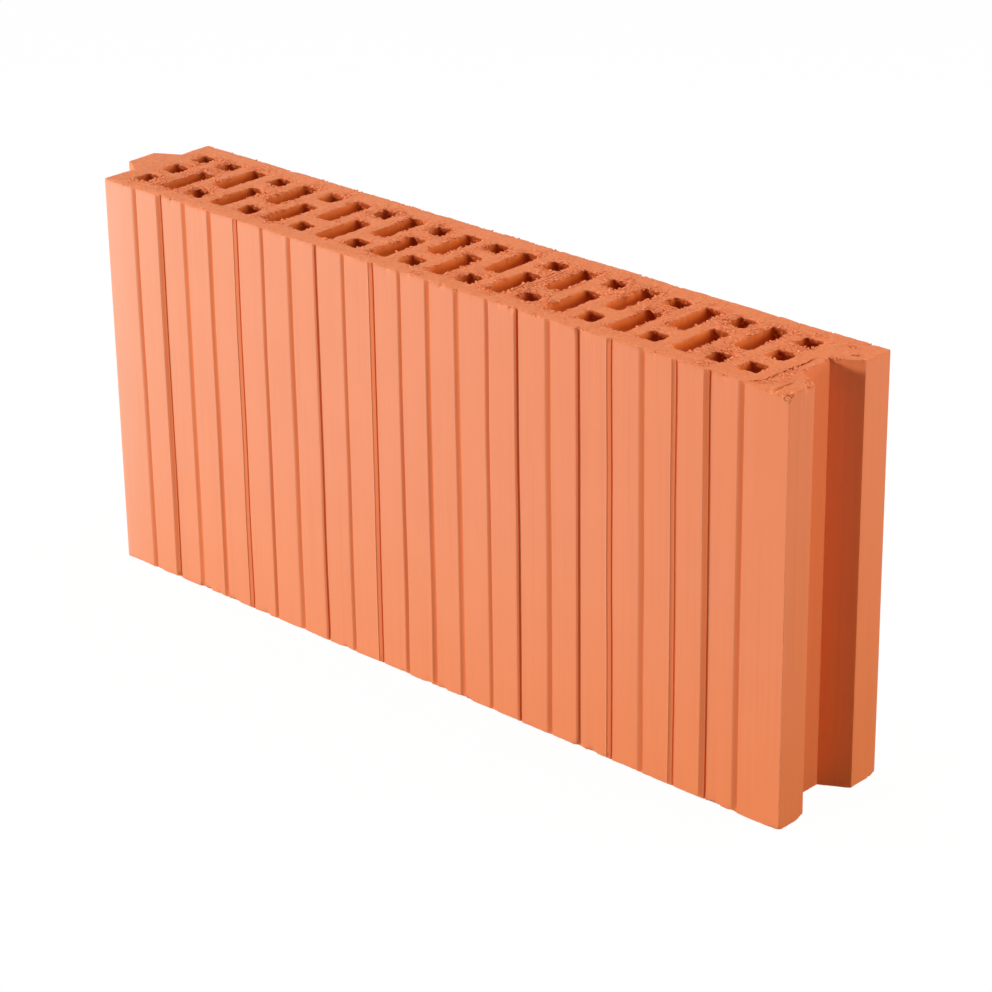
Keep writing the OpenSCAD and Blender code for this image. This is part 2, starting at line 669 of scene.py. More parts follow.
@dataclass
class WireCut:
    """One cut face: torn rims, crumbs, pits, wire marks and worn edges.

    A name that ends in steps is a reach in grid steps, and one that ends in level is a noise below which
    nothing happens.
    """

    seed: int
    marks: tuple[WireMark, ...] = ()
    worn: tuple[WornSpot, ...] = ()
    patch: HeldNoise = HeldNoise(0.65, 0.8, 0.2, 1)
    clump: HeldNoise = HeldNoise(0.7, 0.8, 0.1, 1)
    chip: HeldNoise = HeldNoise(-1.2, 3, 0, 0.6)
    mark_gaps: HeldNoise = HeldNoise(0.75, 0.7, 0, 1)
    grain: float = 0.09
    shell_grain: float = 0.4
    hole_grain: float = 0.8
    field_drop: float = 0.5
    rim_drop: float = 0.18
    edge_drop: float = 0.3
    tear_drop: float = 1.0
    tear_depth: float = 0.6
    pit_depth: float = 0.4
    least_drop: float = 0.02
    hole_steps: int = 9
    edge_steps: int = 8
    tear_steps: float = 5.0
    rim_fade_steps: float = 0.8
    edge_fade_steps: float = 0.7
    chip_steps: float = 1.2
    unevenness: float = 0.9
    spot_unevenness: float = 0.4
    mark_wander: float = 0.2
    mark_tip: float = 3.0
    burr: float = 1.1
    burr_level: float = 0.1
    bite: float = 1.3
    bite_level: float = 0.3
    ragged: float = 0.45
    fine_ragged: float = 0.8
    calm_tear: float = 0.5
    patch_tear: float = 0.8
    jag: float = 0.55
    smear: float = 0.55
    overhang: float = 0.5
    overhang_mean: float = 0.7
    overhang_swing: float = 0.5
    opening: float = 0.55
    edge_pull: float = 0.10
    notch: float = 1.8
    notch_level: float = 0.35
    drag: tuple[float, float] = (-0.55, -0.84)
    fade_passes: int = 4
    fade_keep: float = 0.75

    def shape(self, section: DrawnSection) -> CutShape:
        """Works out the cut face on the section's grid.

        The drop is the sum of a grain that is finer on the shells than among the holes, a rounding that fades
        within a step or two of each rim, crumbs and pits where the clay tore beside a hole, the wire's marks
        and the worn spots.

        Args:
            section: The drawn section that is cut.

        Returns:
            The drop below the cut plane, the shift in plan and how torn the clay is.
        """
        places = section.points()
        numbers = np.indices(section.x.shape).transpose(1, 2, 0)
        to_hole = steps_from(self._marked(section, Rim.HOLE), self.hole_steps)
        to_edge = steps_from(self._marked(section, Rim.OUTLINE), self.edge_steps)
        near_hole = np.exp(-to_hole / self.tear_steps)
        patch = self.patch.of(Noise.PATCH.at(places, self.seed))
        clump = self.clump.of(Noise.CLUMP.at(places, self.seed))
        chipped = self.chip.of(Noise.CHIP.at(places, self.seed))
        torn = np.maximum(patch * clump * near_hole, chipped * np.exp(-to_edge / self.chip_steps))
        grain = 2 + Noise.BROAD_GRAIN.at(places, self.seed) + Noise.FINE_GRAIN.at(places, self.seed)
        drop = self.grain * grain * (self.shell_grain + self.hole_grain * near_hole)
        drop += self.field_drop * near_hole
        for height, steps, fade, noise in (
            (self.rim_drop, to_hole, self.rim_fade_steps, Noise.RIM),
            (self.edge_drop, to_edge, self.edge_fade_steps, Noise.EDGE),
        ):
            drop += height * np.exp(-steps / fade) * (1 + self.unevenness * noise.at(places, self.seed))
        for mark in self.marks:
            furrow, beyond = self._mark_shares(mark, places)
            drop += mark.depth * furrow + mark.fall * beyond
            torn = np.maximum(torn, mark.tear * np.maximum(furrow, beyond * clump))
        for spot in self.worn:
            off = ((places - (spot.x, spot.y)) / (spot.reach_x, spot.reach_y)) ** 2
            share = np.exp(-off.sum(-1))
            drop += spot.depth * share * (1 + self.spot_unevenness * Noise.SPOT.at(places, self.seed))
            torn = np.maximum(torn, spot.tear * share)
        crumbs = Noise.CRUMB.lumps(places, self.seed)
        pits = self.pit_depth * Noise.PIT.on_nodes(numbers, self.seed)
        drop += self.tear_drop * torn * (self.tear_depth - crumbs + pits)
        return CutShape(np.maximum(drop, self.least_drop), self._rim_shift(section, patch), torn)

    def _marked(self, section: DrawnSection, kind: Rim) -> np.ndarray:
        """Marks the grid nodes that lie on rims of one kind.

        Args:
            section: The drawn section.
            kind: The rims to mark.

        Returns:
            True at the rims' nodes.
        """
        marked = np.zeros(section.x.size, bool)
        marked[section.rims[kind].start] = True
        return marked.reshape(section.x.shape)

    def _mark_shares(self, mark: WireMark, places: np.ndarray) -> tuple[np.ndarray, np.ndarray]:
        """Shares of a wire mark: narrow broken furrows along Y, and the strip beyond them, which fades out.

        Args:
            mark: The wire mark.
            places: Plan places.

        Returns:
            The furrow's share and the strip's share at each place.
        """
        along, through = places[..., 0], places[..., 1]
        wander = self.mark_wander * Noise.WANDER.at(places[..., 1:], self.seed)
        swing = mark.swing * np.clip((mark.front + mark.swing_reach - through) / mark.swing_reach, 0, 1)
        off = along - mark.slant * through + swing - wander
        nearest = np.abs(off[..., None] - mark.line_places()).min(-1)
        off = off - mark.x
        inside = np.clip((through - mark.front) / self.mark_tip, 0, 1)
        inside = inside * np.clip((mark.back - through) / self.mark_tip, 0, 1)
        broken = self.mark_gaps.of(Noise.BREAK.at(places, self.seed))
        furrow = inside * broken * np.exp(-((nearest / mark.width) ** 2))
        beyond = inside * np.clip(off + 0.5, 0, 1) * np.exp(-np.maximum(off, 0) / mark.reach)
        return furrow, beyond

    def _rim_shift(self, section: DrawnSection, patch: np.ndarray) -> np.ndarray:
        """Shift of the nodes in plan: torn burrs reach into the holes, bites open them, and edges pull in.

        The wire also drags clay over the far rims of the holes, and smears it over the tops of the plaster
        grooves, which makes them shallower there.

        Args:
            section: The drawn section that is cut.
            patch: How much the clay tears at each node.

        Returns:
            Shift vectors, faded from the rims into the clay.
        """
        flat = section.flat_points()
        shift = np.zeros_like(flat)
        for kind, edges in section.rims.items():
            place = flat[edges.start]
            away = section.away_from_clay(edges)
            ragged = Noise.RAGGED.at(place, self.seed)
            ragged = ragged + self.fine_ragged * Noise.FINE_RAGGED.at(place, self.seed)
            if kind is Rim.HOLE:
                tear = self.calm_tear + self.patch_tear * patch.ravel()[edges.start]
                jag = self.jag * Noise.JAG.on_nodes(edges.start[:, None], self.seed)
                burr = self.burr * np.maximum(Noise.BURR.at(place, self.seed) - self.burr_level, 0)
                bite = self.bite * np.maximum(Noise.BITE.at(place, self.seed) - self.bite_level, 0)
                dragged = np.clip(away @ np.array(self.drag), 0, 1)
                uneven = self.overhang_mean + self.overhang_swing * Noise.DRAG.at(place, self.seed)
                dragged = dragged * uneven
                amount = tear * (self.ragged * ragged + jag + burr - bite)
                amount = amount + self.overhang * dragged - self.opening
            else:
                notched = np.maximum(Noise.CHIP.at(place, self.seed) - self.notch_level, 0)
                most_ragged = 1 + self.fine_ragged
                amount = -self.edge_pull * (most_ragged + ragged) - self.notch * notched
            shift[edges.start] = amount[:, None] * away
        outline = section.rims[Rim.OUTLINE].start
        smeared = self.smear * section.groove_depth * section.groove_shape.ravel()[outline]
        shift[outline, 1] += smeared * np.sign(flat[outline, 1])
        held = self._marked(section, Rim.HOLE) | self._marked(section, Rim.OUTLINE)
        return carried_inward(shift.reshape(*section.x.shape, 2), held, self.fade_passes, self.fade_keep)


@dataclass
class ShaderNodes:
    """Adds and links the nodes of one material or world."""

    tree: bpy.types.NodeTree

    def add(
        self, kind: str, inputs: dict[str | int, Socket | Colour | float], **settings: str
    ) -> bpy.types.Node:
        """Adds a node, with each given input linked to a socket or set to a plain value.

        Args:
            kind: The node's type, without the word ShaderNode before it.
            inputs: Sockets, colours or numbers, by the input's name or number.
            settings: Properties of the node, which are set before its inputs.

        Returns:
            The node.
        """
        node = self.tree.nodes.new("ShaderNode" + kind)
        for name, setting in settings.items():
            setattr(node, name, setting)
        for key, value in inputs.items():
            socket = node.inputs[key]
            if isinstance(value, Socket):
                self.tree.links.new(value, socket)
            elif socket.type == "RGBA":
                socket.default_value = (*value, 1)
            else:
                socket.default_value = value
        return node

    def attribute(self, name: str) -> Socket:
        """Value of one of the mesh's own attributes."""
        return self.add("Attribute", {}, attribute_name=name).outputs["Fac"]

    def noise(self, place: Socket, scale: float, detail: float) -> Socket:
        """Noise of the given scale, in waves to the metre."""
        return self.add("TexNoise", {"Vector": place, "Scale": scale, "Detail": detail}).outputs["Fac"]

    def ramp(self, value: Socket, low: float, high: float, most: float = 1.0) -> Socket:
        """The value as a share from 0 at low to the most at high."""
        inputs = {"Value": value, "From Min": low, "From Max": high, "To Max": most}
        return self.add("MapRange", inputs).outputs["Result"]

    def math(self, operation: str, *values: Socket | float) -> Socket:
        """Result of one step of arithmetic on other nodes' values and plain numbers."""
        return self.add("Math", dict(enumerate(values)), operation=operation).outputs["Value"]

    def product(self, first: Socket, second: Socket | float) -> Socket:
        """The first value times the second."""
        return self.math("MULTIPLY", first, second)

    def mix(self, share: Socket, first: Socket | Colour, second: Colour, blend: str = "MIX") -> Socket:
        """Colour that goes with the share from the first to the second, or to the first tinted by it."""
        inputs = {"Factor": share, 6: first, 7: second}
        return self.add("Mix", inputs, data_type="RGBA", blend_type=blend).outputs[2]

    def bump(self, height: Socket, strength: float, distance: float, under: Socket | None) -> Socket:
        """Lays a bump over another one.

        Args:
            height: Height as a share.
            strength: How much of the bump shows.
            distance: Full height in metres.
            under: Normal that the bump lies on, or none for the bare surface.

        Returns:
            The bumped normal.
        """
        inputs = {"Height": height, "Strength": strength, "Distance": distance}
        if under is not None:
            inputs["Normal"] = under
        return self.add("Bump", inputs).outputs["Normal"]

    def seen(self) -> Socket:
        """Finds the rays that the camera sees, directly or through gloss or glass.

        Returns:
            1 for those rays, and 0 for the rest.
        """
        path = self.add("LightPath", {}).outputs
        seen = path["Is Camera Ray"]
        for other in ("Is Glossy Ray", "Is Transmission Ray"):
            seen = self.math("MAXIMUM", seen, path[other])
        return seen

    def show(self, share: Socket, plain: Socket, seen: Socket, output: str) -> None:
        """Sends two shaders, mixed by a share, to an output of the given type."""
        mixed = self.add("MixShader", {0: share, 1: plain, 2: seen})
        self.add(output, {"Surface": mixed.outputs["Shader"]})


@dataclass(frozen=True)
class FiredClay:
    """Unglazed orange fired clay: pale drawn faces, deeper ends and holes, crumbly cut faces, with painted
    light and shade.

    The mesh's own attributes say where each lies: skin, bloom, groove, cut, torn, ragged
    and grain. Painted light makes the long faces paler towards the tongue end, and the walls paler near the
    top and deeper near the bottom. Painted shade darkens the grooves, the end groove's hollow and flanks, the
    front-facing hole walls under the rims, small pits, wire-mark lines and the low spots of the torn grain;
    painted highlights lighten its tops.
    """

    furrows: tuple[WireMark, ...] = ()
    name: str = "fired_clay"
    pale: Colour = (0.875, 0.265, 0.122)
    deep: Colour = (0.925, 0.222, 0.036)
    bloomed: Colour = (0.868, 0.397, 0.258)
    painted_groove_shade: Colour = (0.80, 0.203, 0.072)
    painted_crease_shade: Colour = (0.49, 0.2, 0.085)
    broken: Colour = (0.862, 0.247, 0.099)
    pit: Colour = (0.45, 0.078, 0.014)
    crumb: Colour = (0.97, 0.36, 0.165)
    mottle_tint: Colour = (0.86, 0.80, 0.76)
    streak_tint: Colour = (0.80, 0.74, 0.70)
    grit_hollow_painted_shade: Colour = (0.88, 0.74, 0.55)
    crease_shade_range: tuple[float, float] = (2.3, 3.3)
    streak_squeeze: tuple[float, float, float] = (1, 1, 0.02)
    roughness: float = 0.9
    specular: float = 0.2
    mottle_scale: float = 30.0
    patch_scale: float = 170.0
    streak_scale: float = 420.0
    grit_scale: float = 520.0
    speck_scale: float = 640.0
    fine_scale: float = 900.0
    furrow_wave: float = 0.0008
    furrow_wave_scale: float = 180.0
    furrow_gap_scale: float = 260.0
    furrow_core: float = 0.4
    furrow_front_fade: float = 2.0
    furrow_back_fade: float = 4.0

    def material(self) -> bpy.types.Material:
        """Builds the procedural material on Object coordinates and the mesh's own attributes.

        Returns:
            The material.
        """
        made = bpy.data.materials.new(self.name)
        made.use_nodes = True
        nodes = ShaderNodes(made.node_tree)
        shader = made.node_tree.nodes["Principled BSDF"]
        shader.inputs["Roughness"].default_value = self.roughness
        shader.inputs["Specular IOR Level"].default_value = self.specular
        place = nodes.add("TexCoord", {}).outputs["Object"]
        squeezed = nodes.add("Mapping", {"Vector": place, "Scale": self.streak_squeeze}).outputs["Vector"]
        cut = nodes.attribute("cut")
        torn = nodes.attribute("torn")
        groove = nodes.attribute("groove")
        mottle = nodes.noise(place, self.mottle_scale, 4)
        streak = nodes.noise(squeezed, self.streak_scale, 3)
        speck = nodes.noise(place, self.speck_scale, 2)
        gritty = nodes.noise(place, self.grit_scale, 4)
        fine = nodes.noise(place, self.fine_scale, 3)
        patches = nodes.product(nodes.ramp(nodes.noise(place, self.patch_scale, 2), 0.40, 0.60), torn)

        body = nodes.mix(nodes.attribute("skin"), self.deep, self.pale)
        layers = [
            # Painted light: the long faces take a paler colour towards the tongue end, as strong light from
            # that side shows them.
            (nodes.attribute("bloom"), self.bloomed, "MIX"),
            # Painted shade: the grooves get a darker colour by their depth, and their deepest crease a still
            # darker one.
            (groove, self.painted_groove_shade, "MIX"),
            (nodes.ramp(groove, *self.crease_shade_range), self.painted_crease_shade, "MIX"),
            (cut, self.broken, "MIX"),
            # The loose grains' own paler tone, by a random share for each.
            (nodes.attribute("grain"), self.crumb, "MIX"),
            (nodes.ramp(mottle, 0.35, 0.65, 0.12), self.mottle_tint, "MULTIPLY"),
            (nodes.ramp(streak, 0.5, 0.3, 0.12), self.streak_tint, "MULTIPLY"),
            # Painted shade: the low spots of the torn grain are darker and deeper in colour.
            (nodes.product(nodes.ramp(gritty, 0.50, 0.36), torn), self.grit_hollow_painted_shade, "MULTIPLY"),
            # Painted highlights: the tops of the torn grain and of the specks in torn patches take the pale
            # crumb colour.
            (nodes.product(nodes.ramp(gritty, 0.53, 0.66), torn), self.crumb, "MIX"),
            (nodes.product(nodes.ramp(speck, 0.53, 0.63, 0.9), patches), self.crumb, "MIX"),
            # Painted shade in the small pits of the torn patches.
            (nodes.product(nodes.ramp(speck, 0.46, 0.36), patches), self.pit, "MIX"),
            # Painted shade on the hole walls that face the front, below the rims.
            (nodes.product(nodes.attribute("ragged"), nodes.ramp(speck, 0.74, 0.54)), self.pit, "MIX"),
        ]
        # Painted shade: each wire-mark line takes the dark shade colour, as the shade in its narrow furrow.
        for mark in self.furrows:
            for line_x in mark.line_places():
                line = self._furrow(nodes, place, mark, float(line_x))
                layers.append((nodes.product(line, cut), self.pit, "MIX"))
        for share, colour, blend in layers:
            body = nodes.mix(share, body, colour, blend)
        made.node_tree.links.new(body, shader.inputs["Base Color"])

        normal = None
        for height, strength, distance in (
            (streak, 0.2, 0.00012),
            (fine, 0.25, 0.00010),
            (nodes.product(gritty, cut), 0.45, 0.0006),
            (nodes.product(speck, patches), 1.0, 0.0014),
        ):
            normal = nodes.bump(height, strength, distance, normal)
        made.node_tree.links.new(normal, shader.inputs["Normal"])
        return made

    def _furrow(self, nodes: ShaderNodes, place: Socket, mark: WireMark, line_x: float) -> Socket:
        """Share of one thin line of painted shade along a wire mark's furrow, a little wavy and broken.

        The share falls with the distance from the slanted line, which swings aside near its front tip, and
        ends at the mark's two tips.

        Args:
            nodes: The material's nodes.
            place: Object coordinates in metres.
            mark: The wire mark.
            line_x: Where the line crosses the block's middle.

        Returns:
            The share, on every surface that the line's plane meets.
        """
        along, through, _ = nodes.add("SeparateXYZ", {"Vector": place}).outputs
        bend_end = (mark.front + mark.swing_reach) * MM
        swing = nodes.ramp(through, bend_end, mark.front * MM, mark.swing * MM)
        off = nodes.math("MULTIPLY_ADD", through, -mark.slant, along)
        off = nodes.math("ADD", off, swing)
        wave = nodes.noise(place, self.furrow_wave_scale, 2)
        off = nodes.math("MULTIPLY_ADD", wave, self.furrow_wave, off)
        gap = nodes.math("SUBTRACT", off, line_x * MM + self.furrow_wave / 2)
        width = mark.width * MM
        share = nodes.ramp(nodes.math("ABSOLUTE", gap), width, width * self.furrow_core)
        for tip, inward in ((mark.front, self.furrow_front_fade), (mark.back, -self.furrow_back_fade)):
            share = nodes.product(share, nodes.ramp(through, tip * MM, (tip + inward) * MM))
        gaps = nodes.noise(place, self.furrow_gap_scale, 2)
        return nodes.product(share, nodes.ramp(gaps, 0.36, 0.5))


@dataclass
class Zones:
    """Attribute values of a run of points, by attribute name, which the finish reads."""

    values: dict[str, np.ndarray]

    @classmethod
    def of(cls, count: int, **given: np.ndarray | float) -> Zones:
        """Zones of count points, 0 where nothing is given."""
        names = ("cut", "torn", "ragged", "grain", "skin", "bloom", "groove")
        return cls({name: np.zeros(count) + given.get(name, 0.0) for name in names})

    @classmethod
    def joined(cls, runs: list[Zones]) -> Zones:
        """Zones of several runs one after the other."""
        return cls({name: np.hstack([run.values[name] for run in runs]) for name in runs[0].values})

    def write(self, piece: bpy.types.Object) -> None:
        """Puts the values on a mesh.

        Args:
            piece: The object whose mesh has these points.
        """
        for name, values in self.values.items():
            attribute = piece.data.attributes.new(name, "FLOAT", "POINT")
            attribute.data.foreach_set("value", values.astype(np.float32))


@dataclass
class ClayBlock:
    """The whole block: one closed mesh of two cut faces and the walls between them."""

    section: DrawnSection
    top: CutShape
    bottom: CutShape
    rim_fade: float = 1.1
    drop_fade: float = 8.0
    cut_fade: float = 0.6
    cut_grit: float = 0.15
    cut_tear: float = 1.3
    cut_painted_light: float = 0.16
    ragged_reach: float = 14.0
    end_skin: float = 0.8
    flank_pale_share: float = 0.5
    end_facing: float = 0.9
    groove_painted_shade: float = 4.0
    end_hollow_painted_shade: float = 0.6
    # Painted light and shade by height: how much paler the walls are near the top and deeper near the bottom.
    skin_rise: float = 0.7
    bloom_share: float = 0.5
    bloom_reach: float = 18.0
    bloom_rise: float = 0.6
    relief_fade: float = 6.0
    plain_end: float = 12.0
    side_facing: float = 0.1
    hole_wave: float = 0.3
    hole_line: float = 0.15
    face_wave: float = 0.08
    face_line: float = 0.03
    groove_sway: float = 0.35
    groove_swell: float = 0.4
    wall_depths: dict[Rim, tuple[float, ...]] = field(default_factory=lambda: {
        Rim.OUTLINE: (0.7, 2.0, 4.5, 10.0, 22.0),
        Rim.HOLE: (0.8, 2.2, 6.0),
    })
    middle_levels: dict[Rim, int] = field(default_factory=lambda: {Rim.OUTLINE: 7, Rim.HOLE: 0})
    order: np.ndarray = field(init=False)

    def build(self) -> bpy.types.Object:
        """Joins the cut faces and the walls into one mesh object.

        Returns:
            The block.
        """
        cells = self._cell_corners()
        used, compact = np.unique(cells, return_inverse=True)
        cells = compact.reshape(cells.shape)
        self.order = np.full(self.section.x.size, -1)
        self.order[used] = np.arange(len(used))
        faces = [cells[:, ::-1], cells + len(used)]
        points = [self._cut_points(self.bottom, used, False), self._cut_points(self.top, used, True)]
        # Painted light: near the tongue end the cut faces also show some of the paler colour.
        cut_share = 1 - self.cut_painted_light * self._fading(self.section.x.ravel()[used])
        zones = []
        for cut in (self.bottom, self.top):
            torn = np.clip(self.cut_grit + self.cut_tear * cut.torn.ravel()[used], 0, 1)
            zones.append(Zones.of(len(used), cut=cut_share, torn=torn, skin=1.0, bloom=1.0))
        count = 2 * len(used)
        for kind in Rim:
            wall_points, wall_faces, wall_zones = self._wall(kind, count, len(used))
            points.append(wall_points)
            faces.append(wall_faces)
            zones.append(wall_zones)
            count += len(wall_points)
        block = mesh_object(NODE + "_clay", np.vstack(points) * MM, np.vstack(faces))
        Zones.joined(zones).write(block)
        return block

    def dress(self, block: bpy.types.Object, finish: bpy.types.Material) -> None:
        """Gives the block its finish."""
        block.data.materials.append(finish)

    def _fading(self, x: np.ndarray) -> np.ndarray:
        """Share that falls evenly from 1 at the tongue's shoulder to 0 at the grooved end."""
        along = np.maximum(x - self.section.shoulder_x, 0)
        return 1 - along / (self.section.end_x - self.section.shoulder_x)

    def _cell_corners(self) -> np.ndarray:
        """Numbers the corners of each clay cell, counter-clockwise from above.

        Returns:
            Four flat node numbers for each cell.
        """
        i, j = np.nonzero(self.section.clay)
        across = self.section.clay.shape[1] + 1
        low = i * across + j
        return np.stack((low, low + across, low + across + 1, low + 1), -1)

    def _cut_points(self, cut: CutShape, used: np.ndarray, is_top: bool) -> np.ndarray:
        """Points of a cut face.

        Args:
            cut: The cut face's shape.
            used: Flat numbers of the nodes that clay cells use.
            is_top: Whether the face is the upper one.

        Returns:
            The points.
        """
        flat = (self.section.points() + cut.shift).reshape(-1, 2)[used]
        drop = cut.drop.ravel()[used]
        low, high = self.section.low[2], self.section.high[2]
        return np.column_stack((flat, high - drop if is_top else low + drop))

    def _levels(self, kind: Rim) -> np.ndarray:
        """Heights of a wall's inner levels, closer together near the two cut faces.

        Args:
            kind: The rims that the wall stands on.

        Returns:
            Heights above the lower cut face.
        """
        depths = np.array(self.wall_depths[kind])
        height = self.section.height
        middle = np.linspace(depths[-1], height - depths[-1], self.middle_levels[kind] + 2)[1:-1]
        return np.hstack((depths, middle, height - depths[::-1]))

    def _wall(self, kind: Rim, first: int, upper: int) -> tuple[np.ndarray, np.ndarray, Zones]:
        """Carries one kind of rim from the lower cut face to the upper one.

        At each level a rim node stands at its place in plan, moved by the cut faces' shifts, which fade with
        the distance from each face, and by the drawn wall's own relief.

        Args:
            kind: The rims to carry.
            first: Number of the first new point.
            upper: Number of the upper cut face's first point.

        Returns:
            The new points, the quads and the new points' zones.
        """
        edges = self.section.rims[kind]
        nodes = edges.nodes()
        plan = self.section.flat_points()
        place = np.full(len(plan), -1)
        place[nodes] = np.arange(len(nodes))
        levels = self._levels(kind)
        rise = levels[:, None]
        depth = self.section.height - rise
        near_top = np.exp(-depth / self.rim_fade)
        near_bottom = np.exp(-rise / self.rim_fade)
        shift = near_top[..., None] * self.top.shift.reshape(-1, 2)[nodes]
        shift = shift + near_bottom[..., None] * self.bottom.shift.reshape(-1, 2)[nodes]
        away = np.zeros_like(plan)
        away[edges.start] = self.section.away_from_clay(edges)
        away = away[nodes]
        flat = plan[nodes] + shift + self._drawn_relief(kind, nodes, away, levels)
        height = (
            self.section.low[2] + rise
            - np.exp(-depth / self.drop_fade) * self.top.drop.ravel()[nodes]
            + np.exp(-rise / self.drop_fade) * self.bottom.drop.ravel()[nodes]
        )
        points = np.concatenate((flat, height[..., None]), -1).reshape(-1, 3)
        numbers = first + np.arange(len(points)).reshape(len(levels), -1)
        stack = np.vstack((self.order[nodes], numbers, self.order[nodes] + upper))
        start, stop = place[edges.start], place[edges.stop]
        below, above = stack[:-1], stack[1:]
        quads = np.stack((below[:, start], below[:, stop], above[:, stop], above[:, start]), -1)
        skin, bloom, groove = self._skin(kind, nodes, away)
        # Painted light and shade by height: the walls get paler towards the top and deeper towards the
        # bottom.
        lift = rise / self.section.height - 0.5
        torn = near_top * self.top.torn.ravel()[nodes] + near_bottom * self.bottom.torn.ravel()[nodes]
        # Painted shade: hole walls that face the front get the dark shade colour, strongest near the top
        # under the rims.
        faces_front = np.clip(-away[:, 1], 0, 1) * (kind is Rim.HOLE)
        ragged = faces_front * np.clip(2 - 2 * depth / self.ragged_reach, 0, 1)
        zones = Zones.of(
            len(points),
            cut=np.repeat(np.exp(-np.minimum(depth, rise) / self.cut_fade), len(nodes)),
            torn=torn.ravel(),
            ragged=ragged.ravel(),
            skin=np.clip(skin * (1 + self.skin_rise * lift), 0, 1).ravel(),
            bloom=np.clip(bloom * (1 + self.bloom_rise * lift), 0, 1).ravel(),
            groove=np.tile(groove, len(levels)),
        )
        return points, quads.reshape(-1, 4), zones

    def _skin(self, kind: Rim, nodes: np.ndarray, away: np.ndarray) -> tuple[np.ndarray, ...]:
        """How pale the clay is: pale on the long faces, deeper on the ends and deepest in the holes.

        Args:
            kind: The rims that the walls stand on.
            nodes: Flat numbers of the rim's nodes.
            away: Unit vectors out of the clay at the nodes.

        Returns:
            Shares of the pale colour, of the painted light on the long faces towards the tongue end, and of
            the grooves' painted shade.
        """
        if kind is Rim.HOLE:
            return tuple(np.zeros((3, len(nodes))))
        plan = self.section.flat_points()[nodes]
        x = plan[:, 0]
        on_face = self.section.on_long_face(plan)
        on_end = np.abs(away[:, 0]) > self.end_facing
        in_hollow = on_end & (x > 0) & (x < self.section.end_x - self.section.joint_depth / 2)
        # Painted shade: the plaster grooves take it by their depth, and the end groove's hollow a fixed
        # share.
        groove = self.groove_painted_shade * self.section.groove_shape.ravel()[nodes]
        groove = np.where(in_hollow, self.end_hollow_painted_shade, groove)
        # Painted shade: walls that face neither a long face nor an end take the deep colour by half; these
        # are chiefly the end groove's flanks and hollow.
        skin = np.where(on_end & ~in_hollow, self.end_skin, self.flank_pale_share)
        skin = np.where(on_face | (x < 0), 1.0, skin)
        # Painted light on the long faces: paler towards the tongue end, and most of all close to it.
        margin = np.exp(-np.maximum(x - self.section.shoulder_x, 0) / self.bloom_reach)
        bloom = self.bloom_share * self._fading(x) + (1 - self.bloom_share) * margin
        return skin, on_face * bloom, groove

    def _drawn_relief(self, kind: Rim, nodes: np.ndarray, away: np.ndarray, levels: np.ndarray) -> np.ndarray:
        """Relief of the drawn walls: slow waves, upright drag lines and grooves that wander a little.

        Args:
            kind: The rims that the walls stand on.
            nodes: Flat numbers of the rim's nodes.
            away: Unit vectors out of the clay at the nodes.
            levels: Heights of the levels.

        Returns:
            Plan shifts for each level and node.
        """
        plan = self.section.flat_points()[nodes]
        place = np.concatenate((
            np.broadcast_to(plan, (len(levels), *plan.shape)),
            np.broadcast_to(levels[:, None, None], (len(levels), len(plan), 1)),
        ), -1)
        ends = np.clip(np.minimum(levels, self.section.height - levels) / self.relief_fade, 0, 1)[:, None]
        waves = Noise.WALL_WAVE.at(place)
        lines = Noise.WALL_LINE.at(place)
        if kind is Rim.HOLE:
            return -(ends * (self.hole_wave * waves + self.hole_line * lines))[..., None] * away
        inward = ends * (self.face_wave * (1 + waves) + self.face_line * (1 + lines))
        relief = -inward[..., None] * away
        groove = self.section.groove_shape.ravel()[nodes]
        on_face = np.abs(away[:, 1]) > self.side_facing
        on_face &= np.abs(plan[:, 0]) < self.section.joint_x - self.plain_end
        upright = place[..., ::2]
        side = np.sign(plan[:, 1])
        relief[..., 0] += self.groove_sway * ends * on_face * Noise.GROOVE_SWAY.at(upright)
        relief[..., 1] += self.groove_swell * ends * groove * Noise.GROOVE_SWELL.at(upright) * side
        return relief


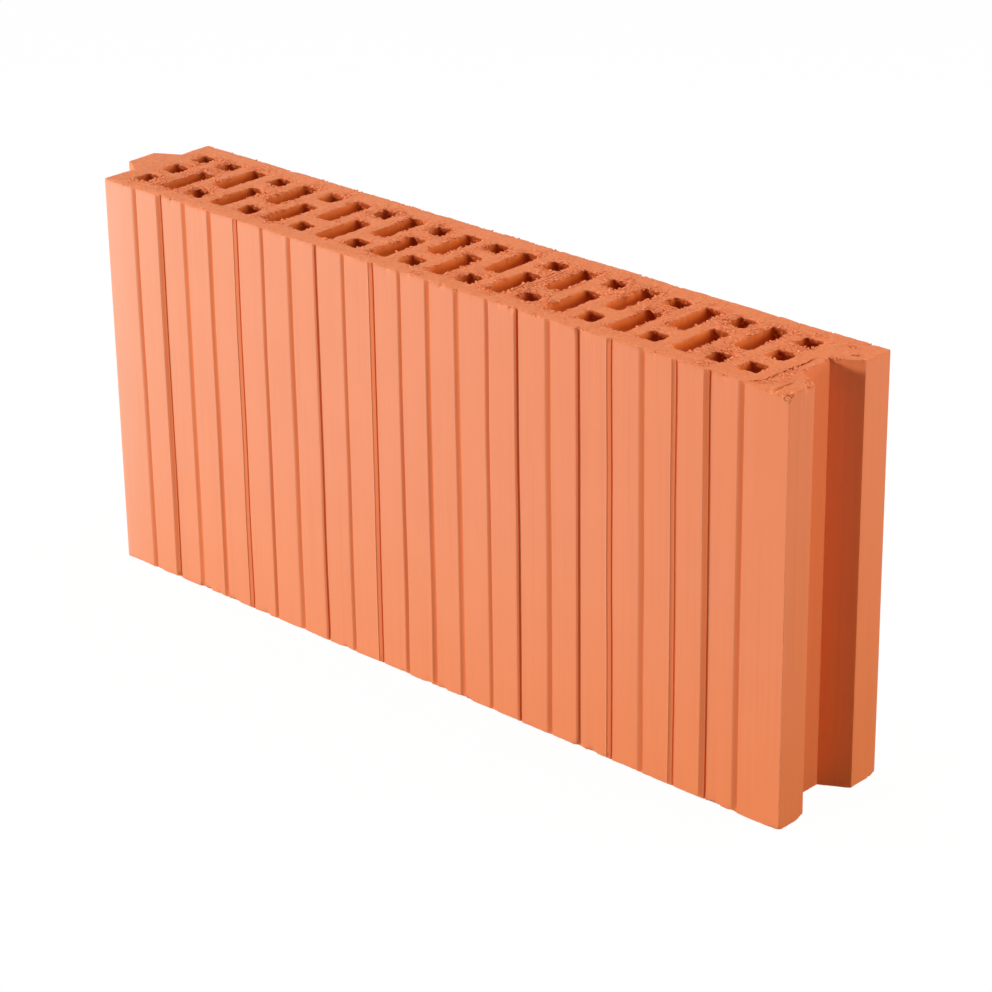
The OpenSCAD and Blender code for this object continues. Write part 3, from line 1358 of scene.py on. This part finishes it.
@dataclass
class Crumbs:
    """Grains of clay that the wire left on the torn rims: small squashed icosahedra with uneven corners."""

    section: DrawnSection
    cut: CutShape
    count: int = 9000
    seed: int = 9
    least: float = 0.25
    most: float = 0.8
    flatness: float = 0.65
    least_tear: float = 0.15
    tear_power: float = 1.2
    stray: float = 0.5
    stretch: tuple[float, float] = (0.7, 1.3)
    corner_reach: tuple[float, float] = (0.75, 1.2)
    lift: float = 0.3
    margin: float = 0.02

    def build(self) -> bpy.types.Object:
        """Scatters the grains over the torn clay of the upper cut face.

        A grain sits on a grid node chosen by how torn the clay is there, half sunk, and is cut off level with
        the top by the wire.

        Returns:
            All grains as one mesh object.
        """
        pick = np.random.default_rng(self.seed)
        beside_clay = np.zeros(self.section.x.shape)
        beside_clay[:-1, :-1] += self.section.clay
        beside_clay[1:, 1:] += self.section.clay
        weight = np.maximum(self.cut.torn - self.least_tear, 0) ** self.tear_power
        weight = np.where(beside_clay > 0, weight, 0).ravel()
        nodes = pick.choice(weight.size, self.count, p=weight / weight.sum())
        middle = (self.section.points() + self.cut.shift).reshape(-1, 2)[nodes]
        middle = middle + pick.uniform(-self.stray, self.stray, middle.shape)
        size = self.least + (self.most - self.least) * pick.random(self.count) ** 2
        corners, faces = icosahedron()
        spread = size[:, None, None] * pick.uniform(*self.stretch, (self.count, 1, 3)) * (1, 1, self.flatness)
        shape = corners * spread * pick.uniform(*self.corner_reach, (self.count, len(corners), 1))
        level = self.section.high[2] - self.cut.drop.ravel()[nodes] + self.lift * size
        points = shape + np.column_stack((middle, level))[:, None, :]
        points = np.clip(points, self.section.low + self.margin, self.section.high - self.margin)
        numbers = faces + len(corners) * np.arange(self.count)[:, None, None]
        piece = mesh_object(NODE + "_crumbs", points.reshape(-1, 3) * MM, numbers.reshape(-1, 3))
        paleness = np.repeat(pick.random(self.count), len(corners))
        Zones.of(points.size // 3, cut=1.0, grain=paleness).write(piece)
        return piece

    def dress(self, piece: bpy.types.Object, finish: bpy.types.Material) -> None:
        """Gives the grains the block's finish."""
        piece.data.materials.append(finish)


def icosahedron() -> tuple[np.ndarray, np.ndarray]:
    """Corners and faces of a unit icosahedron: two poles, and two rings of five turned by half a step.

    Returns:
        Twelve corners, and twenty triangles counter-clockwise from outside.
    """
    ring = np.arange(5)
    after = (ring + 1) % 5
    reach = 2 / 5 ** 0.5
    rings = []
    for half_steps, level in ((0, -0.5), (1, 0.5)):
        turn = 2 * np.pi * ring / 5 + half_steps * np.pi / 5
        rings.append(reach * np.column_stack((np.cos(turn), np.sin(turn), np.full(5, level))))
    corners = np.vstack(((0, 0, -1), *rings, (0, 0, 1)))
    low, high, top = 1, 6, 11
    faces = np.vstack((
        np.column_stack((np.zeros(5, int), low + after, low + ring)),
        np.column_stack((low + ring, low + after, high + ring)),
        np.column_stack((low + after, high + after, high + ring)),
        np.column_stack((high + ring, high + after, np.full(5, top))),
    ))
    return corners, faces


def linked_object(name: str, data: bpy.types.ID) -> bpy.types.Object:
    """Makes an object and links it to the scene.

    Args:
        name: The object's name.
        data: Its mesh, lamp or camera.

    Returns:
        The object.
    """
    made = bpy.data.objects.new(name, data)
    bpy.context.scene.collection.objects.link(made)
    return made


def mesh_object(name: str, points: np.ndarray, faces: np.ndarray) -> bpy.types.Object:
    """Makes a mesh object at the origin from whole arrays, smooth apart from its sharper edges.

    Args:
        name: Name of the object and its mesh.
        points: Places in metres.
        faces: Point numbers for each face, counter-clockwise from outside, the same count for all.

    Returns:
        The object, linked to the scene.
    """
    mesh = bpy.data.meshes.new(name)
    mesh.vertices.add(len(points))
    mesh.vertices.foreach_set("co", points.astype(np.float32).ravel())
    mesh.loops.add(faces.size)
    mesh.loops.foreach_set("vertex_index", faces.astype(np.int32).ravel())
    mesh.polygons.add(len(faces))
    mesh.polygons.foreach_set("loop_start", np.arange(0, faces.size, faces.shape[1], dtype=np.int32))
    mesh.update(calc_edges=True)
    mesh.polygons.foreach_set("use_smooth", np.ones(len(faces), bool))
    mesh.set_sharp_from_angle(angle=SHARP_ANGLE)
    return linked_object(name, mesh)


@dataclass(frozen=True)
class PaleFloor:
    """Matt grey floor that the camera sees nearly white, with the block's shadow kept."""

    grey: float = 0.18
    lift: float = 0.80
    glow: float = 1.215

    def material(self) -> bpy.types.Material:
        """Builds the material: for rays that the camera sees, most of the grey gives way to a white glow.

        Returns:
            The material.
        """
        made = bpy.data.materials.new("pale_floor")
        made.use_nodes = True
        made.node_tree.nodes.clear()
        nodes = ShaderNodes(made.node_tree)
        matt = nodes.add("BsdfDiffuse", {"Color": (self.grey, self.grey, self.grey)})
        white = nodes.add("Emission", {"Strength": self.glow})
        share = nodes.product(nodes.seen(), self.lift)
        nodes.show(share, matt.outputs["BSDF"], white.outputs["Emission"], "OutputMaterial")
        return made


@dataclass(frozen=True)
class Lamp:
    """One soft studio lamp, placed by its direction and distance from the block's middle, in metres."""

    name: str
    azimuth: float
    elevation: float
    distance: float
    side: float
    watts: float
    colour: Colour


@dataclass
class Studio:
    """The plain pale floor, the soft lamps and the white surroundings."""

    aim: tuple[float, float, float]
    floor_side: float = 30.0
    ambient: float = 0.08
    lamps: tuple[Lamp, ...] = (
        Lamp("key_lamp", -60, 6, 3.5, 0.9, 92, WHITE),
        Lamp("front_lamp", -15, 12.5, 3.5, 0.35, 67, (1.0, 1.0, 0.98)),
        Lamp("top_lamp", -90, 72, 1.6, 0.8, 9.0, WHITE),
        Lamp("top_fill_lamp", 140, 62, 1.6, 0.8, 4.6, (1.0, 1.0, 0.98)),
        Lamp("end_lamp", 107, 14, 1.2, 0.5, 5.9, (1.0, 0.94, 0.86)),
        Lamp("back_lamp", 150, 20, 2.0, 0.8, 11, (1.0, 0.95, 0.88)),
    )

    def build(self) -> None:
        """Makes the floor, the lamps and the world."""
        self._floor()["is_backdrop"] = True
        for lamp in self.lamps:
            self._lamp(lamp)
        self._world()

    def _floor(self) -> bpy.types.Object:
        """Makes the floor: one square sheet under the block.

        Returns:
            The floor.
        """
        half = self.floor_side / 2
        points = np.array(((-half, -half, 0), (half, -half, 0), (half, half, 0), (-half, half, 0)))
        floor = mesh_object("studio_floor", points, np.arange(4)[None, :])
        floor.data.materials.append(PaleFloor().material())
        return floor

    def _lamp(self, lamp: Lamp) -> None:
        """Hangs one square area lamp, turned to the block's middle.

        Args:
            lamp: The lamp.
        """
        data = bpy.data.lights.new(lamp.name, "AREA")
        data.size = lamp.side
        data.energy = lamp.watts
        data.color = lamp.colour
        back = direction(lamp.azimuth, lamp.elevation)
        made = linked_object(lamp.name, data)
        made.location = Vector(self.aim) + back * lamp.distance
        made.rotation_euler = back.to_track_quat("Z", "Y").to_euler()

    def _world(self) -> None:
        """Makes surroundings that are white where the camera sees them, and a dim even light elsewhere."""
        world = bpy.data.worlds.new("studio")
        world.use_nodes = True
        world.node_tree.nodes.clear()
        nodes = ShaderNodes(world.node_tree)
        dim = nodes.add("Background", {"Color": WHITE, "Strength": self.ambient})
        white = nodes.add("Background", {"Color": WHITE})
        nodes.show(nodes.seen(), dim.outputs["Background"], white.outputs["Background"], "OutputWorld")
        bpy.context.scene.world = world


def direction(azimuth: float, elevation: float) -> Vector:
    """Unit vector towards a viewer: azimuth 0 stands in front of the block, and 90 at its grooved end.

    Args:
        azimuth: Degrees round the block.
        elevation: Degrees above the floor.

    Returns:
        The vector from the block to the viewer.
    """
    turn, lift = math.radians(azimuth), math.radians(elevation)
    return Vector((math.sin(turn) * math.cos(lift), -math.cos(turn) * math.cos(lift), math.sin(lift)))


@dataclass(frozen=True)
class PhotoCamera:
    """Camera at the photograph's viewing angle, fitted to the block's corners in its square frame."""

    azimuth: float = 43.442
    elevation: float = 23.947
    roll: float = -0.805
    distance: float = 1.7892
    aim: tuple[float, float, float] = (0.01788, 0.00725, 0.09984)
    focal_pixels: float = 3269.1
    sensor: float = 36.0

    def build(self) -> None:
        """Makes the camera and hands it to the scene."""
        data = bpy.data.cameras.new("photo_camera")
        data.sensor_width = self.sensor
        data.lens = self.focal_pixels * self.sensor / IMAGE_SIDE
        back = direction(self.azimuth, self.elevation)
        right = Vector((0, 0, 1)).cross(back).normalized()
        up = back.cross(right)
        turn = math.radians(self.roll)
        rolled_right = right * math.cos(turn) + up * math.sin(turn)
        rolled_up = up * math.cos(turn) - right * math.sin(turn)
        made = linked_object("photo_camera", data)
        made.location = Vector(self.aim) + back * self.distance
        made.rotation_euler = Matrix((rolled_right, rolled_up, back)).transposed().to_euler()
        bpy.context.scene.camera = made


def main() -> None:
    """Builds the block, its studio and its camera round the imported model, and reports each piece."""
    logging.basicConfig(level=logging.INFO, format="%(message)s")
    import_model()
    cad_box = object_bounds()
    bpy.context.scene.view_settings.view_transform = "Standard"
    low, high = (np.array(corner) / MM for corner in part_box(NODE))
    PhotoCamera().build()
    Studio(aim=tuple((cad_box[0] + cad_box[1]) / 2)).build()

    section = DrawnSection(low, high)
    top_marks = (
        WireMark(60.2, -22, 20, 0.45, tear=0.25, lines=3, width=0.45),
        WireMark(234.6, -39, 8, 0.8, 0.5, slant=0.04, swing=4),
        WireMark(247.4, -40, -24, 1.2, tear=0.2, slant=0.05),
    )
    top = WireCut(
        seed=31,
        marks=top_marks,
        worn=(
            WornSpot(255, -40, 5, 4, 2.2, 0.8),
            WornSpot(245, -41, 13, 3, 1.6),
            WornSpot(197.7, -34, 4, 4, 0.3, 0.9),
            WornSpot(129, -27, 4, 3, 0.2, 0.8),
            WornSpot(3, -35.5, 5, 2.5, 0.2, 0.7),
            WornSpot(240, 30, 4, 2, 0.3, 0.7),
            WornSpot(247.5, 22.5, 3, 2, 0.3, 0.6),
            WornSpot(242, 11, 3, 5, 0.3, 0.7),
            WornSpot(251.5, -20, 3, 3, 0.3, 0.7),
        ),
    ).shape(section)
    bottom = WireCut(
        seed=71,
        worn=(WornSpot(255, -21, 3, 3, 1.4), WornSpot(255, 40, 3, 4, 1.4), WornSpot(255, -40, 2, 2, 0.6)),
    ).shape(section)
    finish = FiredClay(furrows=top_marks).material()
    block = ClayBlock(section, top, bottom)
    crumbs = Crumbs(section, top)
    for part in (block, crumbs):
        piece = part.build()
        part.dress(piece, finish)
        if part is block:
            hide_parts(NODE)
        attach(piece, BODY)
        piece.data.calc_loop_triangles()
        LOG.info("%s: %d triangles", piece.name, len(piece.data.loop_triangles))


if __name__ == "__main__":
    main()
